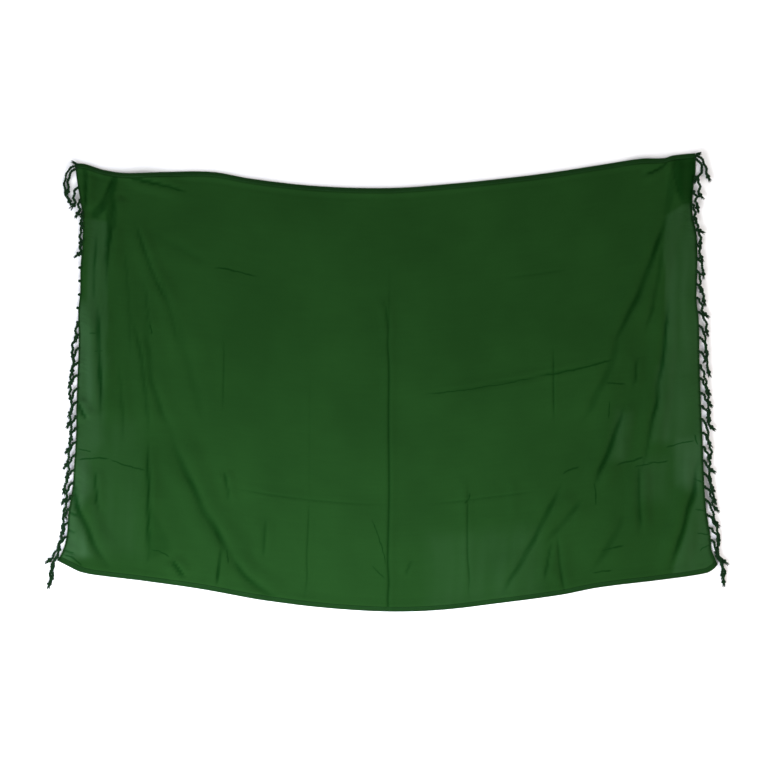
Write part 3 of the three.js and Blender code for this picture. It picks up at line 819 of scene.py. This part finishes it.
def cloth_material(name, dark, light, thin_creases=()):
    """Woven green cloth with its crumples, puckers and threads, and the light and shade that its
    masks paint in.
    """
    material, tree, shader = new_material(name, CLOTH_FINISH)
    place = add_node(tree, "ShaderNodeUVMap", uv_map="cut").outputs["UV"]
    dye = use_group(tree, patchy, {"Vector": place})
    tone = math_node(
        tree, "ADD",
        math_node(tree, "MULTIPLY", dye["Patches"], PATCH_WEIGHT),
        math_node(tree, "MULTIPLY", dye["Slubs"], SLUB_WEIGHT))
    green = two_tone(tree, tone, (dark, light), TONE_STOPS)
    # Painted light: the pale mask mixes in a paler green. Painted shade: the hollow mask and the
    # thin crumples multiply the green by a darker tint.
    green = mixed(tree, mask_on_points(tree, "pale"), green, PAINTED_LIGHT_GREEN)
    shade = mask_on_points(tree, "hollow")
    if thin_creases:
        shade = math_node(tree, "MAXIMUM", shade, thin_crease_mask(tree, thin_creases))
    green = mixed(tree, shade, green, PAINTED_SHADE_TINT, "MULTIPLY")

    pull = use_group(tree, puckers, {"Vector": place, "Cloth Width": CUT_WIDTH * MM})
    threads = use_group(tree, weave, {"Vector": place, "Thread Pitch": THREAD_PITCH})
    relief = bump(tree, dye["Crumple"], 0.35, 1.2 * MM)
    relief = bump(tree, pull["Height"], 0.8, 6 * MM, relief)
    relief = bump(tree, threads["Height"], 0.3, 0.1 * MM, relief)
    tree.links.new(green, shader.inputs["Base Color"])
    tree.links.new(relief, shader.inputs["Normal"])
    return material


green_cloth = cloth_material(
    "green cloth", (0.0068, 0.0340, 0.0053), (0.0093, 0.0436, 0.0073), THIN_CREASES)
# Darker than the panel: the hems lie three layers thick, and on the heading strips this green is
# painted shade where the side edges curl away.
hem_cloth = cloth_material("hem cloth", (0.0046, 0.0248, 0.0042), (0.0065, 0.0330, 0.0058))
print("cloth nodes:", len(green_cloth.node_tree.nodes))

# %% [markdown]
# ## The tassel cord
# The cords are the warp threads themselves, twisted, so they are the same fibre in a duller look,
# and their darker green is painted shade for the gaps between the plies, which swallow light. Fine,
# drawn-out noise reads as fibres.

# %% Cord material
CORD_FINISH = {"Roughness": 0.9, "Specular IOR Level": 0.08}


def cord_material(name, dark, light):
    """Twisted warp thread."""
    material, tree, shader = new_material(name, CORD_FINISH)
    place = add_node(tree, "ShaderNodeTexCoord").outputs["Object"]
    dye = use_group(tree, patchy, {"Vector": place, "Patch Scale": 60, "Slub Scale": 900})
    green = two_tone(tree, dye["Patches"], (dark, light))
    tree.links.new(green, shader.inputs["Base Color"])
    tree.links.new(bump(tree, dye["Slubs"], 0.6, 0.3 * MM), shader.inputs["Normal"])
    return material


# The cords' green is darker than the cloth's as painted shade for the gaps between the plies.
green_cord = cord_material("green cord", (0.0025, 0.012, 0.0035), (0.0065, 0.028, 0.0085))
green_thread = cord_material("green thread", (0.010, 0.045, 0.014), (0.018, 0.075, 0.024))
print("materials:", [green.name for green in (green_cloth, hem_cloth, green_cord, green_thread)])

# %% [markdown]
# ## The cloth panel
# The panel starts as a flat bmesh grid. Each of its points is a place on the flat cloth,
# so the plan and the heights above give its place on the table. A Solidify modifier then
# gives the sheet its thin wall and closes its rim, which keeps the mesh a true solid.

# %% Grid helpers
HEM_WIDTH = 12
SELVAGE_WIDTH = 4
CLOTH_WALL = 0.6
PANEL_COLUMNS = 246
PANEL_ROWS = 156


def make_object(name, bm, material):
    """A smooth piece from a bmesh, riding on the one body."""
    mesh = bpy.data.meshes.new(name)
    bm.to_mesh(mesh)
    bm.free()
    mesh.polygons.foreach_set("use_smooth", [True] * len(mesh.polygons))
    piece = bpy.data.objects.new(name, mesh)
    bpy.context.collection.objects.link(piece)
    mesh.materials.append(material)
    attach(piece, "root")
    return piece


def unit_grid(columns, rows):
    """A bmesh grid over the unit square, with the two shares of each vertex."""
    bm = bmesh.new()
    bmesh.ops.create_grid(bm, x_segments=columns, y_segments=rows, size=0.5)
    shares = np.array([vert.co[:2] for vert in bm.verts]) + 0.5
    return bm, shares[:, 0], shares[:, 1]


def place_verts(bm, x, y, z):
    """Move the vertices to places in millimetres."""
    for vert, *place in zip(bm.verts, x * MM, y * MM, z * MM):
        vert.co = place


def lay_uv(bm, u, v):
    """A UV map named cut: metres on the flat cloth."""
    layer = bm.loops.layers.uv.new("cut")
    bm.verts.index_update()
    for face in bm.faces:
        for loop in face.loops:
            i = loop.vert.index
            loop[layer].uv = (u[i] * CUT_WIDTH * MM, v[i] * CUT_HEIGHT * MM)


# %% The panel itself
TUCK = 2  # the panel runs this far into its hems and heading strips
CLOSE_LINES = (-7, -4, -2, 0, 2, 4, 7)
MIN_LINE_GAP = 1.5
MASK_WANDER = 0.7  # the masks stray this share of what the folds do
side_margin = (SELVAGE_WIDTH - TUCK) / CLOTH_WIDTH
hem_margin = (HEM_WIDTH - TUCK) / CLOTH_HEIGHT


def lines_of(across, margin, size, count):
    """Even grid lines, with closer ones beside every pressed line."""
    even = np.linspace(margin, 1 - margin, count + 1)
    pressed = {row.at for row in PRESSED if row.across == across}
    close = np.array([at + offset / size for at in pressed for offset in CLOSE_LINES])
    gap = np.abs(even[:, None] - close[None, :]).min(1) * size
    kept = (gap > MIN_LINE_GAP) | (np.arange(count + 1) % count == 0)
    return np.sort(np.concatenate([even[kept], close]))


lines_u = lines_of(True, side_margin, CLOTH_WIDTH, PANEL_COLUMNS)
lines_v = lines_of(False, hem_margin, CLOTH_HEIGHT, PANEL_ROWS)
bm, share_u, share_v = unit_grid(len(lines_u) - 1, len(lines_v) - 1)
panel_u = lines_u[np.rint(share_u * (len(lines_u) - 1)).astype(int)]
panel_v = lines_v[np.rint(share_v * (len(lines_v) - 1)).astype(int)]
panel_z, panel_hollow = cloth_form(panel_u, panel_v)
panel_plan = np.stack(plan(panel_u, panel_v), axis=1)
place_verts(bm, *panel_plan.T, panel_z)
lay_uv(bm, panel_u, panel_v)
panel = make_object("cloth_panel_sheet", bm, green_cloth)

# %% Its masks, its wall and its place in the frame
masked_at = panel_plan + unsteady(panel_plan)[0] * MASK_WANDER
# hollow is painted shade in the folds and corner tucks, and pale is painted light.
masks = {
    "hollow": np.maximum(panel_hollow, zone_mask(PAINTED_TUCK_SHADE, masked_at)),
    "pale": zone_mask(PAINTED_LIGHT_ZONES, masked_at),
}
for mask, values in masks.items():
    panel.data.attributes.new(mask, "FLOAT", "POINT").data.foreach_set("value", values)
wall = panel.modifiers.new("wall", "SOLIDIFY")
wall.thickness = CLOTH_WALL * MM
wall.offset = 1
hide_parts("cloth_panel")
print("panel faces:", len(panel.data.polygons), "highest fold (mm):", round(float(panel_z.max()), 1))

# %% [markdown]
# ## The hems
# A hem is the cloth's own edge, turned over twice and stitched, so it is a band a little
# thicker than the cloth with a round outer edge. A grid is wrapped round an oval section
# and swept along the edge; where the two sides of the wrapped grid meet they are merged,
# and the two open ends are filled.

# %% A flat oval band along a line of the cloth
BAND_SIDES = 16
SECTION_POWER = 0.45
HEM_WALL = 1.5


def squash(wave):
    """A sine or cosine with broad tops, which flattens a circle to a band."""
    return np.sign(wave) * np.abs(wave) ** SECTION_POWER


def flat_oval(turn):
    """Shares across and up a flat band with round edges, for turns from 0 to 1."""
    angle = turn * 2 * math.pi
    return (1 - squash(np.cos(angle))) / 2, (1 + squash(np.sin(angle))) / 2


def wrap_band(name, places, segments, thickness, material):
    """A closed band; `places` turns shares along and across it into u and v on the cloth."""
    bm, run, turn = unit_grid(segments, BAND_SIDES)
    across, up = flat_oval(turn)
    u, v = places(run, across)
    z = height(u, v) + thickness * up
    place_verts(bm, *plan(u, v), z)
    lay_uv(bm, u, v)
    bmesh.ops.remove_doubles(bm, verts=bm.verts, dist=0.001 * MM)
    bmesh.ops.holes_fill(bm, edges=[edge for edge in bm.edges if edge.is_boundary], sides=0)
    bmesh.ops.recalc_face_normals(bm, faces=bm.faces)
    band = make_object(name, bm, material)
    print(name, "faces:", len(band.data.polygons))
    return band


def hem_places(upper):
    """Where the upper or the lower hem lies on the cloth."""
    hem_share = HEM_WIDTH / CLOTH_HEIGHT

    def places(run, across):
        u = side_margin + run * (1 - 2 * side_margin)
        return u, (1 - hem_share * across) if upper else hem_share * across
    return places


# %% Upper and lower hem
HEM_SEGMENTS = 280
for node, upper in (("top_hem", True), ("bottom_hem", False)):
    wrap_band(
        node + "_band", hem_places(upper), HEM_SEGMENTS, HEM_WALL, hem_cloth)
    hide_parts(node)

# %% [markdown]
# ## The stitches
# A lockstitch shows as a row of short dashes. One dash is a small ball stretched along
# the seam, with a few dozen faces at most, because there are hundreds of them. Each is
# set on the cloth with a matrix: a place, a direction and a size.

# %% Rows of stitches
STITCH_PITCH = 3.4
STITCH_SIZE = (1.25, 0.36, 0.3)
STITCH_INSET = 2


def stitch_row(name, upper):
    """The dashes along the inner edge of one hem, each turned and tilted with the cloth."""
    count = int(CLOTH_WIDTH / STITCH_PITCH)
    line = (HEM_WIDTH - STITCH_INSET) / CLOTH_HEIGHT
    u = np.linspace(side_margin, 1 - side_margin, count + 2)[1:-1]
    v = np.full(count, 1 - line if upper else line)
    x, y = plan(u, v)
    z = height(u, v) + HEM_WALL
    heading = np.arctan2(np.gradient(y), np.gradient(x))
    slope = np.arctan2(np.gradient(z), np.hypot(np.gradient(x), np.gradient(y)))
    bm = bmesh.new()
    for place in zip(x, y, z, heading, slope):
        a, b, c, turn, tilt = (float(value) for value in place)
        ball = bmesh.ops.create_icosphere(bm, subdivisions=1, radius=1)
        verts = ball["verts"]
        bmesh.ops.scale(bm, verts=verts, vec=Vector(STITCH_SIZE) * MM)
        bmesh.ops.rotate(bm, verts=verts, cent=(0, 0, 0), matrix=Matrix.Rotation(-tilt, 3, "Y"))
        bmesh.ops.rotate(bm, verts=verts, cent=(0, 0, 0), matrix=Matrix.Rotation(turn, 3, "Z"))
        bmesh.ops.translate(bm, verts=verts, vec=Vector((a, b, c)) * MM)
    row = make_object(name, bm, green_thread)
    print(name, "stitches:", count)
    return row


stitches = [stitch_row("top_stitches", True), stitch_row("bottom_stitches", False)]

# %% [markdown]
# ## The heading strips
# Each short end has a narrow strip where the loose warp threads leave the weave. The
# tassels are knotted through it, so it runs the whole way down, from hem to hem.

# %% Left and right heading strip
STRIP_WALL = 1.4
STRIP_SEGMENTS = 200


def strip_places(left):
    """Where the left or the right heading strip lies on the cloth."""
    strip_share = SELVAGE_WIDTH / CLOTH_WIDTH

    def places(run, across):
        return (strip_share * across if left else 1 - strip_share * across), run
    return places


# The strips wear the darker hem cloth, whose green is painted shade here where the side edges curl
# away.
strips = {
    side: wrap_band(side + "_heading_strip", strip_places(side == "left"), STRIP_SEGMENTS,
                    STRIP_WALL, hem_cloth)
    for side in ("left", "right")
}

# %% [markdown]
# ## The tassels
# A tassel is a cord of two twisted plies that ends in an overhand knot and a frayed tuft.
# Blender curves suit it best: each ply is one spline with a round bevel, a knot is a
# closed spline, and each loose yarn tapers by the radius of its points. The curve is then
# made into a mesh. How a tassel lies changes down the edge, so tables of stations give
# how far it stands out and how far it hangs. The corner tassels have routes of their own.

# %% How the tassels lie: distance down the edge, how far out and how far they hang, in mm
Station = namedtuple("Station", "down reach hang")
FRINGE = {
    "left": [
        Station(0, 26, 92), Station(50, 19, 62), Station(85, 12, 50), Station(120, 6, 48),
        Station(215, 5, 40), Station(222, -9, 28), Station(390, -9, 28), Station(398, 10, 44),
        Station(470, 15, 74), Station(600, 17, 80), Station(760, 18, 84), Station(830, 12, 50),
        Station(900, 16, 84), Station(1010, 15, 84),
    ],
    "right": [
        Station(0, 27, 58), Station(60, 16, 66), Station(100, 8, 50), Station(170, 7, 50),
        Station(280, 11, 54), Station(370, 16, 66), Station(430, 18, 80), Station(900, 19, 84),
        Station(1060, 17, 70),
    ],
}
TASSEL_PITCH = 35
TASSEL_FORM = [(0.0, 0.0), (0.12, 0.01), (0.45, 0.1), (0.78, 0.28), (0.95, 0.52), (1.0, 0.72)]
OUT_OF_STEP = {"reach": (-4, 3), "hang": (-14, 10), "down": (-3, 3), "lean": (-0.1, 0.6)}
FLOOR_CLEARANCE = 0.4
CORD_STEPS = 34
dice = random.Random(11)

# %% Routes of the tassels at the corners, and frayed ends that stick straight out
CORNER_CORDS = {
    "left": [
        [(-806, 563), (-826, 553), (-839, 520), (-836, 488), (-829, 474)],
        [(-805, 557), (-820, 546), (-830, 522), (-829, 500)],
        [(-855, -453), (-869, -470), (-876, -500), (-876, -520)],
        [(-854, -446), (-864, -462), (-869, -485), (-871, -505)],
    ],
    "right": [
        [(799, 590), (815, 580), (827, 556), (830, 538)],
        [(798, 583), (812, 568), (817, 550), (807, 532)],
        [(852, -450), (866, -470), (876, -494), (872, -514)],
        [(850, -440), (862, -456), (868, -476), (871, -496)],
    ],
}
CORNER_ENDS = {"left": (-808, 567, -1, 0.3), "right": (801, 592, 1, 0.15)}


# %% Smooth and wavy routes
WAVE_SIZE = 2.8
WAVE_LENGTH = 27
WAVE_GROWTH = 3  # the wave has its full size after a third of the route


def station_at(rows, down):
    """Reach and hang at a distance down the edge."""
    columns = np.array(rows, float).T
    return [float(np.interp(down, columns[0], column)) for column in columns[1:]]


def smooth_route(points, count):
    """Evenly shared points on a smooth curve through the given ones."""
    points = [Vector(point) for point in points]
    points = [points[0] * 2 - points[1], *points, points[-1] * 2 - points[-2]]
    route = []
    for i in range(count + 1):
        place = i / count * (len(points) - 3)
        k = min(int(place), len(points) - 4)
        t = place - k
        a, b, c, d = points[k:k + 4]
        route.append(0.5 * (2 * b + (c - a) * t + (2 * a - 5 * b + 4 * c - d) * t ** 2
                            + (3 * b - a - 3 * c + d) * t ** 3))
    return route


def wave(route, size, phase):
    """The kinks a cord keeps from its twist, growing away from the root."""
    run = 0
    for i in range(1, len(route)):
        run += (route[i] - route[i - 1]).length
        growth = min(WAVE_GROWTH * i / len(route), 1)
        route[i].x += growth * size * math.sin(phase + run / WAVE_LENGTH * 2 * math.pi)


# %% [markdown]
# ## The twisted cord
# Loose warp threads are rolled into two plies, and the plies wind round each other. A
# straight cord could be twisted by a modifier, but these bend, so each ply is a spline of
# its own that circles the route on an arm square to it.

# %% Splines and the two plies
PLY_RADIUS = 2.3
PLY_OFFSET = 1.65
TWIST_PITCH = 13


def add_spline(curve, points, radii, cyclic=False):
    """A spline through points in millimetres."""
    spline = curve.splines.new("POLY")
    spline.points.add(len(points) - 1)
    for target, point, radius in zip(spline.points, points, radii):
        target.co = (*(point * MM), 1)
        target.radius = radius
    spline.use_cyclic_u = cyclic


def side_axes(direction):
    """The level and the rising direction square to a cord's own."""
    sideways = Vector((0, 0, 1)).cross(direction).normalized()
    return sideways, direction.cross(sideways).normalized()


def twist_plies(curve, route, phase):
    """Two plies wound round the route."""
    run = 0
    plies = ([], [])
    for i, point in enumerate(route):
        direction = (route[min(i + 1, len(route) - 1)] - route[max(i - 1, 0)]).normalized()
        run += (point - route[max(i - 1, 0)]).length
        sideways, upwards = side_axes(direction)
        angle = phase + run / TWIST_PITCH * 2 * math.pi
        arm = sideways * math.cos(angle) + upwards * math.sin(angle)
        plies[0].append(point + arm * PLY_OFFSET)
        plies[1].append(point - arm * PLY_OFFSET)
    for ply in plies:
        add_spline(curve, ply, [1] * len(ply))


# %% [markdown]
# ## Knot and tuft
# An overhand knot keeps the cord from untwisting. Its closed form, the trefoil, is a line
# of sines and cosines, which is easier to place than a tied cord. Below it the yarns fray,
# each by its own chance.

# %% Knot and tuft
KNOT_RADIUS = 4
KNOT_STEPS = 36
KNOT_SQUEEZE = 0.9
KNOT_YARN = 0.95
TREFOIL_SIZE = 2.4
TUFT_YARNS = 16
TUFT_LENGTH = 15
TUFT_TAPER = (1, 1, 0.9, 0.6, 0.3)
TUFT_NECK, TUFT_FLARE = 1.8, 2.6
TUFT_CHANCE = {"spread": (-1, 1), "rise": (-0.5, 0.8), "length": (0.65, 1.1), "bend": (-1.2, 1.2)}
YARN_RADIUS = 0.9


def overhand_knot(curve, centre, direction):
    """A trefoil, the closed form of an overhand knot, across the cord."""
    sideways, upwards = side_axes(direction)
    points = []
    for i in range(KNOT_STEPS):
        t = i / KNOT_STEPS * 2 * math.pi
        wide = math.sin(t) + 2 * math.sin(2 * t)
        tall = math.cos(t) - 2 * math.cos(2 * t)
        points.append(centre + (sideways * wide + upwards * -math.sin(3 * t)
                                + direction * tall * KNOT_SQUEEZE) * (KNOT_RADIUS / TREFOIL_SIZE))
    add_spline(curve, points, [KNOT_YARN] * KNOT_STEPS, cyclic=True)


def tuft(curve, centre, direction, floor):
    """Loose yarns that fan out below the knot."""
    sideways, upwards = side_axes(direction)
    for _ in range(TUFT_YARNS):
        spread, rise, length, bend = (dice.uniform(*span) for span in TUFT_CHANCE.values())
        points = []
        for i in range(len(TUFT_TAPER)):
            t = i / (len(TUFT_TAPER) - 1)
            aside = spread * (TUFT_NECK + TUFT_FLARE * t) + bend * t * t
            point = centre + direction * (TUFT_LENGTH * length * t) + sideways * aside
            point += upwards * rise * (TUFT_NECK - t)
            point.z = max(point.z, floor)
            points.append(point)
        add_spline(curve, points, TUFT_TAPER)


# %% Cord, knot and tuft along a route
KNOT_LIFT = 1.5
TUFT_START = 1.5
ANY_PHASE = (0, 6)


def add_cord(curves, route, lean):
    """One tassel along a route; `lean` turns its knot and tuft outwards."""
    cords, yarns = curves
    direction = (route[-1] - route[-2]).normalized()
    direction = (direction + Vector((lean, 0, 0))).normalized()
    direction.z = 0
    direction.normalize()
    twist_plies(cords, route, dice.uniform(*ANY_PHASE))
    knot_at = route[-1] + direction * KNOT_RADIUS
    knot_at.z = max(knot_at.z, KNOT_RADIUS + KNOT_LIFT)
    overhand_knot(cords, knot_at, direction)
    tuft(yarns, knot_at + direction * TUFT_START, direction, YARN_RADIUS + FLOOR_CLEARANCE)


# %% [markdown]
# ## The routes
# A tassel leaves the strip at the cloth's height, swings out over the edge and hangs down
# beside it, over the tip of its neighbour. A few points set by rule and a smooth curve
# through them are enough, and a small wave gives the cord its kinks.

# %% The route of one tassel
CORD_REST = PLY_RADIUS + PLY_OFFSET + FLOOR_CLEARANCE
RIDE_OVER = 5.2  # how high a cord arches over its neighbours on its way down
ROOT_IN, ROOT_LIFT = 1.5, 0.6
ROUTE_WANDER = (-1.2, 1.2)
TUCKED_STAND = 3.5  # how far a tucked tassel stands out before it turns back
WAVE_CHANCE = (0.4, 1)
CORNER_LIFTS = (2, 4.5)
CORNER_SETTLE = 1.5
CORNER_WAVE = 0.5


def edge_x(rows, y):
    """The x of a side edge at a height y, kept within its ends."""
    foot, head = ends(rows)
    return float(edge_value(rows, min(max((y - foot) / (head - foot), 0), 1)))


def tassel_route(side, down, reach, hang):
    """From the strip out over the edge and down; a negative reach tucks it back in."""
    outward, rows = (-1, LEFT_EDGE) if side == "left" else (1, RIGHT_EDGE)
    foot, head = ends(rows)
    y = head - down
    u, v = (0 if side == "left" else 1), 1 - down / (head - foot)
    root_z = float(height(u, v)) + STRIP_WALL / 2
    tucked = reach < 0
    root_x = edge_x(rows, y) - outward * ROOT_IN
    route = [Vector((root_x, y, max(root_z + ROOT_LIFT, CORD_REST)))]
    full_fall = TASSEL_FORM[-1][1]
    for i, (out, fall_share) in enumerate(TASSEL_FORM[1:], start=1):
        at = y - fall_share * hang
        over = 0 if tucked else RIDE_OVER * math.sin(fall_share / full_fall * math.pi) ** 2
        z = root_z + (CORD_REST + over - root_z) * min(i / 2, 1)
        wander = 0 if tucked else dice.uniform(*ROUTE_WANDER)
        stand = TUCKED_STAND if tucked and i == 1 else out * reach
        route.append(Vector((edge_x(rows, at) + outward * stand + wander, at, max(z, CORD_REST))))
    smooth = smooth_route(route, CORD_STEPS)
    if not tucked:
        wave(smooth, dice.uniform(*WAVE_CHANCE) * WAVE_SIZE, dice.uniform(*ANY_PHASE))
    return smooth


def corner_route(points):
    """A corner cord leaves the cloth at its own height and settles on the table."""
    last = len(points) - 1
    settling = [CORNER_SETTLE * (last - i) / last for i in range(len(CORNER_LIFTS), last + 1)]
    route = smooth_route(
        [(x, y, CORD_REST + lift) for (x, y), lift in zip(points, [*CORNER_LIFTS, *settling])],
        CORD_STEPS)
    wave(route, CORNER_WAVE * WAVE_SIZE, dice.uniform(*ANY_PHASE))
    return route


# %% All tassels of one side, made into one mesh
def round_curve(name, radius, sides):
    """An empty curve whose splines get a round section."""
    curve = bpy.data.curves.new(name, "CURVE")
    curve.dimensions = "3D"
    curve.bevel_depth = radius * MM
    curve.bevel_resolution = sides
    curve.use_fill_caps = True
    return curve


def curve_into(bm, curve):
    """Add the curve's surface to a bmesh, and remove the curve."""
    holder = bpy.data.objects.new(curve.name, curve)
    bpy.context.collection.objects.link(holder)
    bpy.context.view_layer.update()
    depsgraph = bpy.context.evaluated_depsgraph_get()
    mesh = bpy.data.meshes.new_from_object(holder.evaluated_get(depsgraph))
    bm.from_mesh(mesh)
    bpy.data.meshes.remove(mesh)
    bpy.data.objects.remove(holder)
    bpy.data.curves.remove(curve)


# %% Both fringes
CORNER_END_LIFT = 2


def fringe(side):
    """Every tassel of one short end: those down the edge, then those at its corners."""
    outward, rows = (-1, LEFT_EDGE) if side == "left" else (1, RIGHT_EDGE)
    foot, head = ends(rows)
    places = int((head - foot) / TASSEL_PITCH)
    margin = (head - foot - (places - 1) * TASSEL_PITCH) / 2
    cords = round_curve(side + " cords", PLY_RADIUS, 1)
    yarns = round_curve(side + " yarns", YARN_RADIUS, 0)
    down_the_edge = range(1, places - 1)  # the first and last places are the corners'
    for i in down_the_edge:
        down = margin + i * TASSEL_PITCH
        reach, hang = station_at(FRINGE[side], down)
        lean = 0
        if reach > 0:
            reach += dice.uniform(*OUT_OF_STEP["reach"])
            hang += dice.uniform(*OUT_OF_STEP["hang"])
            down += dice.uniform(*OUT_OF_STEP["down"])
            lean = outward * dice.uniform(*OUT_OF_STEP["lean"])
        add_cord((cords, yarns), tassel_route(side, down, reach, hang), lean)
    for points in CORNER_CORDS[side]:
        add_cord((cords, yarns), corner_route(points), 0)
    x, y, across, up = CORNER_ENDS[side]
    end_at = Vector((x, y, CORD_REST + CORNER_END_LIFT))
    tuft(yarns, end_at, Vector((across, up, 0)).normalized(), YARN_RADIUS + FLOOR_CLEARANCE)
    bm = bmesh.new()
    for curve in (cords, yarns):
        curve_into(bm, curve)
    bmesh.ops.remove_doubles(bm, verts=bm.verts, dist=0.0001 * MM)
    piece = make_object(side + "_tassels", bm, green_cord)
    count = len(down_the_edge) + len(CORNER_CORDS[side])
    print(piece.name, "tassels:", count, "faces:", len(piece.data.polygons))
    return piece


tassels = {side: fringe(side) for side in ("left", "right")}
for side in ("left", "right"):
    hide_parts("fringe_" + side)
    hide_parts("fringe_" + side)

# %% [markdown]
# ## Floor and light
# The floor is a plain pale sheet that isn't part of the sarong. Soft lights low at both
# sides and at the foot of the cloth give the folds their form, and a small one nearer by,
# above the lower hem, brightens the cloth there. One from the head end keeps the floor
# beyond the upper hem as pale as the rest, and a pale world fills the shadows.

# %% Floor
FLOOR_SIZE = 8
FLOOR_DROP = 0.3 * MM

bm = bmesh.new()
bmesh.ops.create_grid(bm, x_segments=1, y_segments=1, size=FLOOR_SIZE)
bmesh.ops.translate(bm, verts=bm.verts, vec=(0, 0, -FLOOR_DROP))
floor_mesh = bpy.data.meshes.new("floor")
bm.to_mesh(floor_mesh)
bm.free()
floor = bpy.data.objects.new("floor", floor_mesh)
bpy.context.collection.objects.link(floor)
floor_paint, _, _ = new_material("pale floor", {
    "Base Color": (0.93, 0.93, 0.93, 1), "Roughness": 0.9, "Specular IOR Level": 0.1})
floor_mesh.materials.append(floor_paint)

# %% Lights
Light = namedtuple("Light", "name place aim size power colour")
LIGHTS = [
    Light("left light", (-2.5, -0.6, 1.1), (-0.2, -0.1, 0), (0.7, 1.8), 50, (0.96, 1, 1.12)),
    Light("right light", (2.5, -0.6, 1.1), (0.2, -0.1, 0), (0.7, 1.8), 36, (1.06, 0.98, 0.92)),
    Light("foot light", (-0.6, -2.1, 1.2), (0, -0.1, 0), (2.0, 0.6), 55, (1, 1, 1)),
    Light("low light", (-0.2, -0.75, 0.9), (-0.2, -0.7, 0), (1.0, 0.3), 9, (0.98, 1, 1.25)),
    Light("head light", (0.1, 2.8, 0.9), (0, 0.2, 0), (2.4, 0.5), 34, (1, 1, 1)),
]

for light in LIGHTS:
    data = bpy.data.lights.new(light.name, "AREA")
    data.shape = "RECTANGLE"
    data.size, data.size_y = light.size
    data.energy = light.power
    data.color = light.colour
    lamp = bpy.data.objects.new(light.name, data)
    lamp.location = light.place
    direction = Vector(light.aim) - Vector(light.place)
    lamp.rotation_euler = direction.to_track_quat("-Z", "Y").to_euler()
    bpy.context.collection.objects.link(lamp)
print("lights:", [light.name for light in LIGHTS])

# %% A pale room
world = bpy.data.worlds.new("pale room")
world.use_nodes = True
background = world.node_tree.nodes["Background"]
background.inputs["Color"].default_value = (1, 1, 1, 1)
background.inputs["Strength"].default_value = 0.45
bpy.context.scene.world = world
bpy.context.scene.view_settings.view_transform = "Standard"
